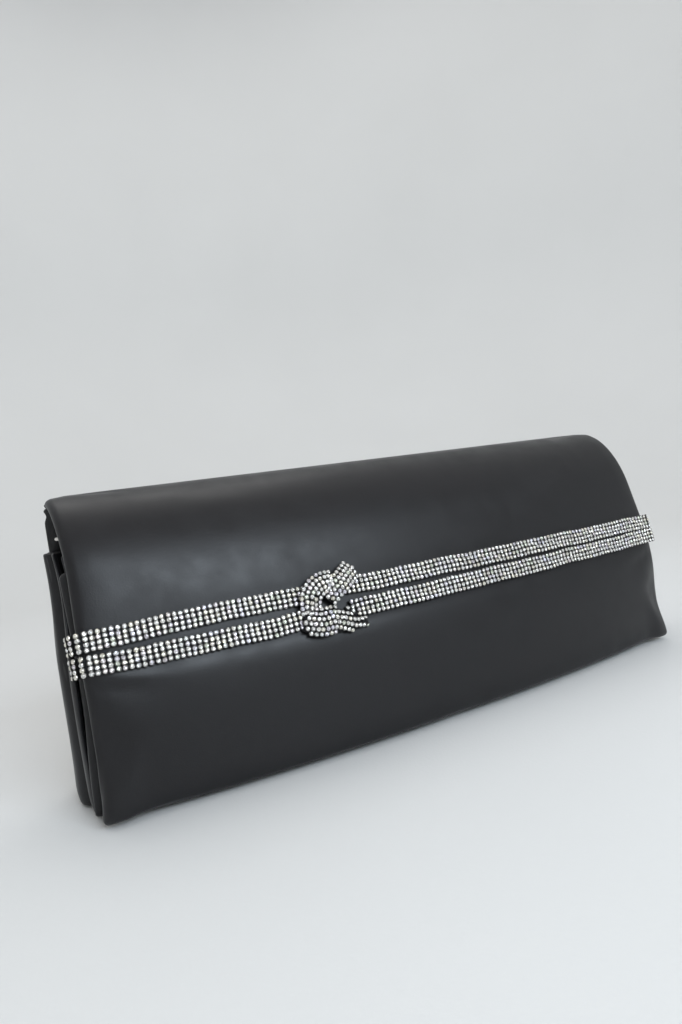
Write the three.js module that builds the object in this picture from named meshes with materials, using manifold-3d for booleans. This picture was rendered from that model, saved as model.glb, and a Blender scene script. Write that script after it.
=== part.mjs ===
// Evening bag: a padded flap folds over a slim shell, closes on two magnetic snaps,
// and carries a band of crystal mesh with a knot.
// Millimetres. +X along the bag, -Y to the front, +Z up. The origin is under the middle of the bag,
// on the surface that it stands on.
import * as THREE from 'three';
import { mergeVertices } from 'three/addons/utils/BufferGeometryUtils.js';
import Module from 'manifold-3d';

// ---- driving dimensions -------------------------------------------------------------------------
const HALF = 137; // half the flap's length
const HEIGHT = 110;
const FRONT = -19.5; // flap's face at its side edges
const BACK = 26.5; // back panel's face at its side edges
const FRONT_BOW = 10; // how far the padded front stands out in the middle, at the base
const BACK_BOW = 3;
const WIDEN = 0.0005; // share that the bag grows in length per mm towards the back
const HEM = 1; // the flap's lower edge, above the surface
const X_STEP = HALF / 4;
const GAP = 0.3;

const FLAP = 5; // thickness of the padded flap
const FLAP_SKIN = 1.6;
const FLAP_MARGIN = 9; // width of the edge that the skin is turned over
const WALL = FLAP + 3.2; // depth from the flap's face to the front wall's face
const WALL_HALF = 133;
const WALL_FOOT = 7; // the front wall's lower edge
const WALL_TOP = 87; // where the front wall ends, as a height on the flap's face
const HINGE_Z = 103;

const BASE_HALF = 134;
const BASE_LAYERS = [[0, 1.6], [1.9, 3.4], [3.7, 4.5]]; // leather, board, lining
const BACK_LAYERS = [[0, 1.2], [1.5, 2.7], [3.0, 3.8]];
const WALL_LAYERS = [[0, 1.2], [1.5, 2.5], [3.7, 4.5]];
const WALL_REAR = WALL + 4.5;

const GUSSET_MID = 131; // middle of the pleats, from the bag's centre
const GUSSET_FOLD = 4.6; // half the pleats' depth
const GUSSET_FOOT = 5;
const GUSSET_TOP = 90;

const BAND_LOW = [49.5, 55.8]; // lower crystal strip, as heights on the flap's face
const BAND_HIGH = [58.2, 64.7];
const BAND_PROUD = [-2.3, -GAP];
const BAND_TURN = [HALF + 2.4, HALF + 4.7]; // the loose turn round the flap's side edge
const KNOT_X = -50.4;
const KNOT_Z = 57.5;

const SNAP_X = 58;
const SNAP_Z = 24;
const SNAP_R = 9;

const RING_X = 130; // the bar that each D-ring turns on
const RING_Y = 15;
const RING_Z = 94.6;
const RING_WIRE = 0.75;

// ---- materials ----------------------------------------------------------------------------------
const paint = (color, roughness, metalness = 0) =>
  new THREE.MeshStandardMaterial({ color, roughness, metalness });
const leather = paint('#1d1d20', 0.42);
const lining = paint('#26262a', 0.75);
const board = paint('#8d8475', 0.9);
const foam = paint('#c9c6bd', 0.95);
const crystal = paint('#d6d3cc', 0.15, 0.4);
const nickel = paint('#c8c6c0', 0.25, 1);

const bag = new THREE.Group();
function add(name, geometry, material) {
  const mesh = new THREE.Mesh(geometry, material);
  mesh.name = name;
  bag.add(mesh);
  return mesh;
}

// ---- solids -------------------------------------------------------------------------------------
const wasm = await Module();
wasm.setup();

function closed(geometry) {
  const bare = geometry.clone();
  bare.deleteAttribute('normal');
  bare.deleteAttribute('uv');
  return mergeVertices(bare, 1e-4);
}

function solid(geometry) {
  const whole = closed(geometry);
  return new wasm.Manifold(new wasm.Mesh({
    numProp: 3,
    vertProperties: new Float32Array(whole.attributes.position.array),
    triVerts: new Uint32Array(whole.index.array),
  }));
}

function fromSolid(body) {
  const mesh = body.getMesh();
  const geometry = new THREE.BufferGeometry();
  geometry.setAttribute('position', new THREE.BufferAttribute(mesh.vertProperties, 3));
  geometry.setIndex(new THREE.BufferAttribute(mesh.triVerts, 1));
  geometry.computeVertexNormals();
  return geometry;
}

const cut = (geometry, ...tools) =>
  fromSolid(tools.reduce((rest, tool) => rest.subtract(solid(tool)), solid(geometry)));
const join = (...parts) =>
  fromSolid(parts.map(solid).reduce((whole, part) => whole.add(part)));

// Moves every vertex by a function that changes it in place.
function reshape(geometry, move) {
  const place = geometry.attributes.position;
  const point = new THREE.Vector3();
  for (let i = 0; i < place.count; i += 1) {
    point.fromBufferAttribute(place, i);
    move(point);
    place.setXYZ(i, point.x, point.y, point.z);
  }
  geometry.computeVertexNormals();
  return geometry;
}

function mirrored(geometry) {
  const other = closed(geometry).scale(-1, 1, 1);
  const index = other.index.array;
  for (let i = 0; i < index.length; i += 3) {
    [index[i], index[i + 1]] = [index[i + 1], index[i]];
  }
  other.computeVertexNormals();
  return other;
}

// ---- the bag's form -----------------------------------------------------------------------------
// The flap's outer face from its hem, up the front and over to the hinge, in y and z.
const face = new THREE.Path();
face.moveTo(FRONT, HEM);
face.lineTo(FRONT, 34);
face.quadraticCurveTo(FRONT, 45, FRONT + 5.8, 65.5);
face.lineTo(FRONT + 10.3, 81.5);
face.bezierCurveTo(FRONT + 14.2, 95.4, FRONT + 26, HEIGHT, FRONT + 39, HEIGHT);
face.lineTo(BACK - 6.5, HEIGHT);
face.bezierCurveTo(BACK - 2.6, HEIGHT, BACK, HEIGHT - 2.6, BACK, HINGE_Z + 0.5);
const FACE_LENGTH = face.getLength();
const FACE_CUTS = [2, 4, 1, 8, 1, 4]; // facets in each stretch of it

const stations = [0];
face.getCurveLengths().forEach((end, i) => {
  const start = stations.at(-1);
  for (let k = 1; k <= FACE_CUTS[i]; k += 1) stations.push(start + ((end - start) * k) / FACE_CUTS[i]);
});

// Padding pushes the front and the back out in the middle, most of all low down.
function bulge(point) {
  const middle = 1 - Math.min(1, (point.x / HALF) ** 2);
  const low = 1 - THREE.MathUtils.clamp(point.z / HEIGHT, 0, 1);
  const push = THREE.MathUtils.mapLinear(point.y, FRONT, BACK, -FRONT_BOW, BACK_BOW);
  point.x *= 1 + WIDEN * (point.y - FRONT);
  point.y += middle * low * push;
}

// Takes a point laid out flat (x along the bag, y depth under the face, z along the face) to its place.
function flatToFace(point) {
  const t = THREE.MathUtils.clamp(point.z / FACE_LENGTH, 0, 1);
  const on = face.getPoint(t);
  const along = face.getTangent(t);
  point.set(point.x, on.x + along.y * point.y, on.y - along.x * point.y);
}

function wrap(geometry) {
  return reshape(geometry, (point) => {
    flatToFace(point);
    bulge(point);
  });
}

// How far along the face a height is, on the front.
function along(height, depth = 0) {
  let [low, high] = [0, FACE_LENGTH * 0.8];
  for (let i = 0; i < 40; i += 1) {
    const point = new THREE.Vector3(0, depth, (low + high) / 2);
    const middle = point.z;
    flatToFace(point);
    if (point.z < height) low = middle;
    else high = middle;
  }
  return (low + high) / 2;
}

// Facet lines between two ends, with the lines that every layer shares.
const between = (ends, lines) =>
  [ends[0], ...lines.filter((v) => v > ends[0] + 0.5 && v < ends[1] - 0.5), ends[1]];
const xLines = [-3, -2, -1, 0, 1, 2, 3].map((i) => i * X_STEP);

// A block between two limits each way, cut into facets at the given lines.
function block(x, y, z) {
  const lines = [x, y, z];
  const geometry = new THREE.BoxGeometry(1, 1, 1, ...lines.map((l) => l.length - 1));
  return reshape(geometry, (point) => {
    const at = (value, line) => line[Math.round((value + 0.5) * (line.length - 1))];
    point.set(at(point.x, x), at(point.y, y), at(point.z, z));
  });
}

const layer = (xEnds, depth, faceEnds) =>
  wrap(block(between(xEnds, xLines), depth, between(faceEnds, stations)));
const upright = (xEnds, yEnds, zEnds) =>
  reshape(block(between(xEnds, xLines), yEnds, between(zEnds, [20, 40, 60, 80])), bulge);
const both = (half) => [-half, half];
const shifted = (ends, by) => ends.map((v) => v + by);

// A round piece turned about its own axis and sunk into the face at a snap.
function atSnap(side, profile, depth) {
  const points = profile.map(([r, y]) => new THREE.Vector2(r, y));
  const turned = new THREE.LatheGeometry(points, 24);
  return wrap(turned.translate(side * SNAP_X, depth, along(SNAP_Z)));
}
const disc = (r, thick) => [[0, 0], [r, 0], [r, thick], [0, thick]];

// ---- shell: base, back and the pleated ends -----------------------------------------------------
const BASE_Y = [FRONT + WALL, BACK];
[['base_panel', leather], ['base_board', board], ['base_lining', lining]].forEach(([name, what], i) => {
  const inset = i * 1.5;
  add(name, reshape(block(
    between(both(BASE_HALF - inset), xLines), [BASE_Y[0] + inset, BASE_Y[1] - inset], BASE_LAYERS[i],
  ), bulge), what);
});

const backTops = [HINGE_Z - 0.6, HINGE_Z - 3, HINGE_Z - 4];
[['back_panel', leather], ['back_board', board], ['back_lining', lining]].forEach(([name, what], i) => {
  const foot = i === 0 ? BASE_LAYERS[0][1] + GAP : BASE_LAYERS[2][1] + 0.5;
  const [outer, inner] = BACK_LAYERS[i].map((d) => BACK - d);
  add(name, upright(both(i === 0 ? HALF : WALL_HALF), [inner, outer], [foot, backTops[i]]), what);
});
const BACK_REAR = BACK - BACK_LAYERS[2][1];
add('back_facing', upright(
  both(WALL_HALF - 10), [BACK_REAR - GAP - 0.8, BACK_REAR - GAP], [80, backTops[2]],
), leather);

// A pleated end: a wave between the front wall and the back, closing up as the wall leans in.
function pleats(shift, thickness) {
  const waves = 12;
  const turn = (u) => GUSSET_MID - shift + GUSSET_FOLD * Math.cos(4 * Math.PI * u);
  const outline = [];
  for (let i = 0; i <= waves; i += 1) {
    outline.push(new THREE.Vector2(turn(i / waves) - thickness / 2, i / waves));
  }
  for (let i = waves; i >= 0; i -= 1) {
    outline.push(new THREE.Vector2(turn(i / waves) + thickness / 2, i / waves));
  }
  const rows = 8;
  const depth = GUSSET_TOP - GUSSET_FOOT;
  const geometry = new THREE.ExtrudeGeometry(
    new THREE.Shape(outline.reverse()), { depth, steps: rows, bevelEnabled: false },
  );
  return reshape(geometry, (point) => {
    point.z += GUSSET_FOOT;
    const start = new THREE.Vector3(0, WALL_REAR + 1.6, along(point.z, WALL_REAR + 1.6));
    flatToFace(start);
    point.y = THREE.MathUtils.lerp(start.y, BACK_REAR - 0.5, point.y);
    bulge(point);
  });
}
const gusset = pleats(0, 1.6);
const gussetLining = pleats(2.8, 1.2);
add('right_gusset', gusset, leather);
add('left_gusset', mirrored(gusset), leather);
add('right_gusset_lining', gussetLining, lining);
add('left_gusset_lining', mirrored(gussetLining), lining);

// Slip pocket on the back lining, open at the top.
const POCKET = { half: 65, foot: 18, top: 72, depth: 6.4, cloth: 0.9 };
const POCKET_Y = [BACK_REAR - GAP - POCKET.depth, BACK_REAR - GAP];
add('slip_pocket', cut(
  upright(both(POCKET.half), POCKET_Y, [POCKET.foot, POCKET.top]),
  upright(
    both(POCKET.half - POCKET.cloth), [POCKET_Y[0] + POCKET.cloth, POCKET_Y[1] + 2],
    [POCKET.foot + POCKET.cloth, POCKET.top + 2],
  ),
), lining);
add('slip_pocket_hem', upright(
  both(POCKET.half), [POCKET_Y[0] - GAP - 0.7, POCKET_Y[0] - GAP], [POCKET.top - 7, POCKET.top],
), leather);

// Leather tab at the top of each end, folded round the bar of a D-ring.
const TAB = { eye: 1.05, outer: 1.7, thick: 1.6, reach: 11.3, drop: 13, width: 6 };
function tab() {
  const half = TAB.thick / 2;
  const root = Math.asin(half / TAB.outer); // where the strap meets the round of the eye
  const outline = new THREE.Shape();
  outline.moveTo(-TAB.reach, half);
  outline.lineTo(-TAB.reach, -TAB.drop);
  outline.lineTo(TAB.thick - TAB.reach, -TAB.drop);
  outline.lineTo(TAB.thick - TAB.reach, -half);
  outline.absarc(0, 0, TAB.outer, -Math.PI + root, Math.PI - root, false);
  const eye = new THREE.Path();
  eye.absarc(0, 0, TAB.eye, 0, 2 * Math.PI, true);
  outline.holes.push(eye);
  const geometry = new THREE.ExtrudeGeometry(
    outline, { depth: TAB.width, bevelEnabled: false, curveSegments: 14 },
  );
  return geometry.rotateX(Math.PI / 2).translate(RING_X, RING_Y + TAB.width / 2, RING_Z);
}
add('right_ring_tab', tab(), leather);
add('left_ring_tab', mirrored(tab()), leather);

// D-ring: a straight bar along Y and a round bow that lies outwards.
function ring() {
  const half = [[0, 0], [0, 3.2], [1.1, 4.6], [5.2, 4.3], [7.2, 2.0]];
  const other = half.slice(1).reverse().map(([x, y]) => [x, -y]);
  const points = [...half, ...other].map(([x, y]) => new THREE.Vector3(RING_X + x, RING_Y + y, RING_Z));
  const line = new THREE.CatmullRomCurve3(points, true);
  return closed(new THREE.TubeGeometry(line, 36, RING_WIRE, 8, true));
}
add('right_d_ring', ring(), nickel);
add('left_d_ring', mirrored(ring()), nickel);

// ---- front wall ---------------------------------------------------------------------------------
const WALL_ENDS = [along(WALL_FOOT), along(WALL_TOP)];
[['front_panel', leather], ['front_board', board], ['front_lining', lining]].forEach(([name, what], i) => {
  const inset = i === 1 ? 2 : 0;
  const ends = [WALL_ENDS[0] + inset, WALL_ENDS[1] - inset];
  add(name, layer(both(WALL_HALF - inset), shifted(WALL_LAYERS[i], WALL), ends), what);
});
add('front_facing', layer(
  both(WALL_HALF - 10), [WALL_REAR + GAP, WALL_REAR + 1.1], [WALL_ENDS[1] - 18, WALL_ENDS[1]],
), leather);

// ---- flap ---------------------------------------------------------------------------------------
const FLAP_ENDS = [0, FACE_LENGTH];
const inMargin = (margin) => [margin, FACE_LENGTH - margin];
add('flap_skin', cut(
  layer(both(HALF), [0, FLAP], FLAP_ENDS),
  layer(both(HALF - FLAP_MARGIN), [FLAP_SKIN, FLAP + 1], inMargin(FLAP_MARGIN)),
), leather);
const FOAM = [FLAP_SKIN + GAP, FLAP_SKIN + GAP + 1];
const foamHoles = [-1, 1].map((side) => atSnap(side, disc(SNAP_R + 0.4, 3), FOAM[0] - 1));
add('flap_foam', cut(
  layer(both(HALF - FLAP_MARGIN - 0.5), FOAM, inMargin(FLAP_MARGIN + 0.5)), ...foamHoles,
), foam);
add('flap_board', layer(both(HALF - FLAP_MARGIN - 0.5), [3.2, 4], inMargin(FLAP_MARGIN + 0.5)), board);
add('flap_lining', layer(both(HALF - FLAP_MARGIN - 0.5), [4.3, FLAP], inMargin(FLAP_MARGIN + 0.5)), lining);

// Magnetic snaps: a boss on the flap drops into a hole in the half on the front wall.
const sides = [['left', -1], ['right', 1]];
const HALF_GAP = 0.4; // between the two halves when shut
sides.forEach(([name, side]) => {
  const male = [[0, 0], [SNAP_R, 0], [SNAP_R, 1], [2.8, 1], [2.5, 2], [0, 2]];
  add(`${name}_snap_male`, atSnap(side, male, FLAP + GAP), nickel);
  const front = FLAP + GAP + 1 + HALF_GAP;
  const female = [[0, 0.9], [4, 0.9], [4, 0], [SNAP_R, 0], [SNAP_R, 1.2], [0, 1.2]];
  add(`${name}_snap_female`, atSnap(side, female, front), nickel);
  add(`${name}_flap_washer`, atSnap(side, disc(SNAP_R, 0.6), FOAM[1] - 0.6), nickel);
  add(`${name}_wall_washer`, atSnap(side, disc(SNAP_R, 0.6), WALL + WALL_LAYERS[1][1] + GAP), nickel);
});

// Crystal strips run to the flap's side edge and turn round it.
function strip(inner, heights, side) {
  const ends = heights.map((height) => along(height));
  const sorted = (a, b) => [Math.min(a, b), Math.max(a, b)];
  const [near, far] = BAND_TURN.map((x) => side * x);
  const run = layer(sorted(inner, far), BAND_PROUD, ends);
  const turn = layer(sorted(near, far), [BAND_PROUD[0], FLAP + GAP], ends);
  return join(run, turn);
}
add('crystal_left_upper', strip(KNOT_X - 6, BAND_HIGH, -1), crystal);
add('crystal_left_lower', strip(KNOT_X - 6, BAND_LOW, -1), crystal);
add('crystal_right_upper', strip(KNOT_X + 14, BAND_HIGH, 1), crystal);
add('crystal_right_lower', strip(KNOT_X + 11, BAND_LOW, 1), crystal);

// A piece of the knot: a ribbon of crystal mesh along a curve, crowned across its width.
function ribbon(points, halfWidth, [front, back]) {
  const line = new THREE.CatmullRomCurve3(points.map(([x, z]) => new THREE.Vector3(x, z, 0)));
  const side = back - 1.2;
  const section = new THREE.Shape();
  section.moveTo(back, -halfWidth);
  section.lineTo(back, halfWidth);
  section.lineTo(side, halfWidth);
  section.quadraticCurveTo(2 * front - side, 0, side, -halfWidth);
  const geometry = new THREE.ExtrudeGeometry(section, {
    steps: 4 * (points.length - 1), curveSegments: 6, bevelEnabled: false, extrudePath: line,
  });
  return wrap(geometry.rotateX(Math.PI / 2).translate(KNOT_X, 0, along(KNOT_Z)));
}
const loop = [[0.2, 8.2], [-3.6, 6.8], [-6.4, 3], [-7, -1.6], [-5.4, -6.2], [-1, -8.6]];
const upperTail = [[4.2, 3.6], [9.2, 7.8], [15.4, 12.2]];
const lowerTail = [[2.2, -8.8], [9.5, -9.9], [16.8, -9.4]];
add('knot_loop', ribbon(loop, 3.3, [-7, -2.7]), crystal);
add('knot_upper_tail', ribbon(upperTail, 3, [-6, -2.7]), crystal);
add('knot_lower_tail', ribbon(lowerTail, 3, [-6, -2.7]), crystal);

export default bag;
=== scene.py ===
"""Evening bag: a padded leather flap over a slim shell, with a knotted band of crystal mesh.

Lengths are in millimetres in the bag's own frame: +X along it, -Y to the front, +Z up. Sheets are first laid
out flat, as x along the bag, depth under a line in the y-z plane, and s along that line.
"""
import math
import random

import bmesh
import bpy
import numpy as np
from mathutils import Euler, Matrix, Vector


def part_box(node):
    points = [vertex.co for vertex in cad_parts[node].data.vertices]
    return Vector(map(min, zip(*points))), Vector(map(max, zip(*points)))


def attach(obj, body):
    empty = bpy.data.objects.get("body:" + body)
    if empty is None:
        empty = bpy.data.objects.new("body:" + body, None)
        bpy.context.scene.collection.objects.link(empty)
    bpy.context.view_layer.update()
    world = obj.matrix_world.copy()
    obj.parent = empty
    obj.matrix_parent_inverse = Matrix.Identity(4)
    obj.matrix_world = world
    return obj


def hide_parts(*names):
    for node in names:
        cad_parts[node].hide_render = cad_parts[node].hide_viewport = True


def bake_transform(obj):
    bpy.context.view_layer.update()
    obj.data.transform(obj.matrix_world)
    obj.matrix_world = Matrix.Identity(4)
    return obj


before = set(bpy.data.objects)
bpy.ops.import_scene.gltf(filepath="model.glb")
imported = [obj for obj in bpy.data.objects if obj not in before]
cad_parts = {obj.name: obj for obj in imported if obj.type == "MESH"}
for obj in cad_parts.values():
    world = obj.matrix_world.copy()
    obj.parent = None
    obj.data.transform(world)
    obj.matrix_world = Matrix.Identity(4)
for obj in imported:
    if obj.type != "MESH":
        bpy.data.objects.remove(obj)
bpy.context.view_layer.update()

random.seed(7)

# ---- driving dimensions -------------------------------------------------------------------------
MM = 0.001


def node_box(name):
    return [np.array(corner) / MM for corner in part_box(name)]


FRONT_BOW, BACK_BOW = 10, 3  # how far the padding stands out in the middle, at the base
WIDEN = 0.0005  # share that the bag grows in length per mm towards the back
HEM, HEIGHT = node_box("flap_skin")[0][2], node_box("flap_skin")[1][2]
BACK = node_box("base_panel")[1][1] - BACK_BOW
FOOT_DEPTH = 46  # from the flap's hem to the back
FRONT = BACK - FOOT_DEPTH
HALF = node_box("flap_skin")[1][0] / (1 + WIDEN * (BACK - FRONT))
FOLD = 6.5  # size of the turn from the top into the back
HANDS = (-1, "left"), (1, "right")

FLAP = 5  # thickness of the padded flap
RECESS = 0.8  # how far the linings lie under the turned leather edge
MARGIN = 9  # width of the turned leather edge
BACK_THICK = 3.8
BACK_FOOT = 2  # height of the back panel's lower edge
WALL = FLAP + 3.2  # depth from the flap's face to the front wall's face
WALL_THICK = 3.4
WALL_REAR = WALL + 4.5
WALL_HALF = 133
BASE_THICK = 1.6
LINING = 0.8

SOFT_EDGE = 1.4  # how far the padded side edges stand beyond the CAD flap's
GUSSET_TOP, GUSSET_FOOT = 90, 0.7  # heights between which the pleated ends stand

KNOT_X, KNOT_Z = -50.4, 57.5
STONE = 0.88  # a stone's radius
PITCH = 2.1  # between stones along a strip
ROW = 1.72  # between the rows of a strip
ROWS = 4
STRIP = (ROWS - 1) * ROW + 2 * STONE


# ---- the bag's form -----------------------------------------------------------------------------
def bezier(*ends, count=16):
    """Points of a Bezier curve of any degree, without its first one."""
    t = np.linspace(0, 1, count + 1)[1:, None]
    rows = [np.tile(np.array(end, float), (count, 1)) for end in ends]
    while len(rows) > 1:
        rows = [a + (b - a) * t for a, b in zip(rows, rows[1:])]
    return rows[0]


def arc(centre, radius, start, end, count=10):
    """Points of an arc from one angle to another, in degrees."""
    angles = np.radians(np.linspace(start, end, count + 1))
    return np.array(centre) + radius * np.stack([np.cos(angles), np.sin(angles)], 1)
def lengths_along(points):
    """How far along a chain of points each of them is."""
    return np.concatenate([[0], np.cumsum(np.linalg.norm(np.diff(points, axis=0), axis=1))])


class Line:
    """A line in the y-z plane, measured by the length s along it."""

    def __init__(self, *parts):
        self.points = np.vstack([np.atleast_2d(np.array(part, float)) for part in parts])
        steps = np.diff(self.points, axis=0)
        self.s = lengths_along(self.points)
        self.middles = (self.s[1:] + self.s[:-1]) / 2
        self.directions = steps / np.linalg.norm(steps, axis=1)[:, None]
        self.length = self.s[-1]

    def at(self, s, depth=0):
        """The point at s, and as deep as asked on the line's right-hand side."""
        here = [np.interp(s, self.s, self.points[:, i]) for i in (0, 1)]
        way = [np.interp(s, self.middles, self.directions[:, i]) for i in (0, 1)]
        size = np.hypot(*way)
        return here[0] + way[1] / size * depth, here[1] - way[0] / size * depth

    def along(self, height, depth=0, *, until):
        """How far along the line a height is. The line has to climb all the way over its share of until."""
        s = np.linspace(0, self.length * until, 2000)
        return float(np.interp(height, self.at(s, depth)[1], s))


FACE_PARTS = [
    [(FRONT, HEM), (FRONT, 34)],
    bezier((FRONT, 34), (FRONT, 45), (FRONT + 5.8, 65.5)),
    [(FRONT + 10.3, 81.5)],
    bezier((FRONT + 10.3, 81.5), (FRONT + 14.2, 95.4), (FRONT + 26, HEIGHT), (FRONT + 39, HEIGHT), count=40),
    [(BACK - FOLD, HEIGHT)],
    bezier(
        (BACK - FOLD, HEIGHT), (BACK - 0.4 * FOLD, HEIGHT), (BACK, HEIGHT - 0.4 * FOLD), (BACK, HEIGHT - FOLD),
        count=24,
    ),
]
FACE = Line(*FACE_PARTS, [(BACK, BACK_FOOT)])  # the flap from its hem, over the top and down the back
S_HINGE = Line(*FACE_PARTS).length
S_TOP = Line(*FACE_PARTS[:-1]).length  # where the fold at the top of the back begins
S_FRONT = Line(*FACE_PARTS[:3]).length  # where the front turns over towards the top
S_KNOT = FACE.along(KNOT_Z, until=0.4)


def bulge(points):
    """Padding pushes the front and the back out in the middle, most of all low down."""
    x, y, z = points[:, 0], points[:, 1], points[:, 2]
    middle = 1 - np.minimum(1, (x / HALF) ** 2)
    low = 1 - np.clip(z / HEIGHT, 0, 1)
    push = -FRONT_BOW + (y - FRONT) / (BACK - FRONT) * (BACK_BOW + FRONT_BOW)
    return np.stack([x * (1 + WIDEN * (y - FRONT)), y + middle * low * push, z], 1)


def place(flat, line=FACE):
    """Takes points laid out flat (x, depth, s) to their places on the bag."""
    flat = np.atleast_2d(np.array(flat, float))
    y, z = line.at(flat[:, 2], flat[:, 1])
    return bulge(np.stack([flat[:, 0], y, z], 1))


def smooth(value, low, high):
    """0 below low, 1 above high, and a smooth step between."""
    t = np.clip((value - low) / (high - low), 0, 1)
    return t * t * (3 - 2 * t)


# ---- mesh tools ---------------------------------------------------------------------------------
def linked(name, data):
    made = bpy.data.objects.new(name, data)
    bpy.context.scene.collection.objects.link(made)
    return made


def to_object(name, points, faces, materials, indices=None, soft=True):
    """A piece from points in millimetres; indices gives each face its material."""
    mesh = bpy.data.meshes.new(name)
    mesh.from_pydata([tuple(p) for p in np.asarray(points) * MM], [], faces)
    for material in materials if isinstance(materials, list) else [materials]:
        mesh.materials.append(material)
    if indices is not None:
        mesh.polygons.foreach_set("material_index", np.asarray(indices, np.int32))
    work = bmesh.new()
    work.from_mesh(mesh)
    bmesh.ops.recalc_face_normals(work, faces=work.faces)
    work.to_mesh(mesh)
    work.free()
    mesh.polygons.foreach_set("use_smooth", [soft] * len(mesh.polygons))
    return linked(name, mesh)


def subdivide(piece):
    """Rounds a piece with a subdivision surface and applies it."""
    modifier = piece.modifiers.new("round", "SUBSURF")
    modifier.levels = modifier.render_levels = 1
    return applied(piece)


def applied(piece):
    """Replaces a piece's mesh by what its modifiers make of it."""
    bpy.context.view_layer.update()
    shown = piece.evaluated_get(bpy.context.evaluated_depsgraph_get())
    mesh = bpy.data.meshes.new_from_object(shown)
    piece.modifiers.clear()
    piece.data = mesh
    return piece


def coordinates(mesh):
    values = np.zeros(len(mesh.vertices) * 3, np.float32)
    mesh.vertices.foreach_get("co", values)
    return values.reshape(-1, 3).astype(float)


def loft(rings, mirror):
    """Faces between closed rings with the same number of points, and the points that they use.

    mirror[j] is the point across the ring from point j. It closes the first and last ring: flat rings are
    welded along it, and open ones are covered.
    """
    rings = np.asarray(rings, float)
    count, size = rings.shape[:2]
    index = np.arange(count * size).reshape(count, size)
    quads = []
    for i in (0, count - 1):
        if np.allclose(rings[i], rings[i][mirror], atol=1e-6):
            index[i] = np.minimum(index[i], index[i][mirror])
            continue
        for j in range(size):
            k = (j + 1) % size
            if j < mirror[j] and k <= mirror[k]:
                quads.append([index[i][j], index[i][k], index[i][mirror[k]], index[i][mirror[j]]])
    for i in range(count - 1):
        for j in range(size):
            k = (j + 1) % size
            quads.append([index[i][j], index[i][k], index[i + 1][k], index[i + 1][j]])
    faces = [list(dict.fromkeys(quad)) for quad in quads]
    faces = [face for face in faces if len(face) > 2]
    used = sorted({v for face in faces for v in face})
    number = {v: i for i, v in enumerate(used)}
    return rings.reshape(-1, rings.shape[2])[used], [[number[v] for v in face] for face in faces]


def slab(half, depths, stations, columns, side, corner, tip=None, sides=5):
    """Flat points (x, depth, s) and faces of a closed padded sheet with rounded edges.

    half(s) is half its width and depths(x, s) its outer and inner depth. Its sides are rounded over a width
    of side with a number of sides, and its corners by a radius. It ends in rounded tips at the first and last
    station.
    """
    angles = np.linspace(-np.pi / 2, np.pi / 2, sides + 2)[1:-1]
    count = len(columns)
    rings = []
    for s in stations:
        from_end = min(s - stations[0], stations[-1] - s)
        edge = np.array(depths(half(s), s), float)
        radius = tip or (edge[1] - edge[0]) / 2
        fat = math.sqrt(max(0, 1 - max(0, 1 - from_end / radius) ** 2))
        inset = corner - math.sqrt(max(0, corner**2 - max(0, corner - from_end) ** 2))
        flat_half = half(s) - inset - side
        x = np.array(columns) * flat_half
        outer, inner = (np.broadcast_to(np.asarray(d, float), x.shape) for d in depths(x, s))
        middle, thick = (outer + inner) / 2, (inner - outer) / 2 * fat
        round_x = flat_half + side * np.cos(angles)
        round_depth = middle[-1] + thick[-1] * np.sin(angles)
        rings.append(np.stack([
            np.concatenate([x, round_x, x[::-1], -round_x[::-1]]),
            np.concatenate([middle - thick, round_depth, (middle + thick)[::-1], round_depth[::-1]]),
            np.full(2 * (count + sides), float(s)),
        ], 1))
    mirror = np.concatenate([
        np.arange(count)[::-1] + count + sides,
        np.arange(sides)[::-1] + count,
        np.arange(count)[::-1],
        np.arange(sides)[::-1] + 2 * count + sides,
    ])
    return loft(rings, mirror)


def belt(here, there, size):
    """Quads between two rings of points, from the numbers of their first points."""
    quads = []
    for j in range(size):
        k = (j + 1) % size
        quads.append([here + j, there + j, there + k, here + k])
    return quads


def tip_rows(radius):
    """How far from a rounded tip its rows lie."""
    steps = 4
    return [radius * (1 - math.cos(k / steps * math.pi / 2)) for k in range(steps + 1)]


def stations_between(start, end, radius, step):
    """Rows from tip to tip; step is a spacing or a list of (until, spacing)."""
    rows = [start + d for d in tip_rows(radius)]
    last = end - radius
    for until, spacing in step if isinstance(step, list) else [(last, step)]:
        until = min(until, last)
        count = max(1, round((until - rows[-1]) / spacing))
        rows += list(np.linspace(rows[-1], until, count + 1)[1:])
    return rows + [end - d for d in tip_rows(radius)[-2::-1]]


def columns_to(count, crowd):
    """Fractions from -1 to 1 across a sheet, crowded towards both its sides by crowd."""
    t = np.linspace(-1, 1, count)
    return t + crowd * np.sin(np.pi * t) / np.pi


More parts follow.
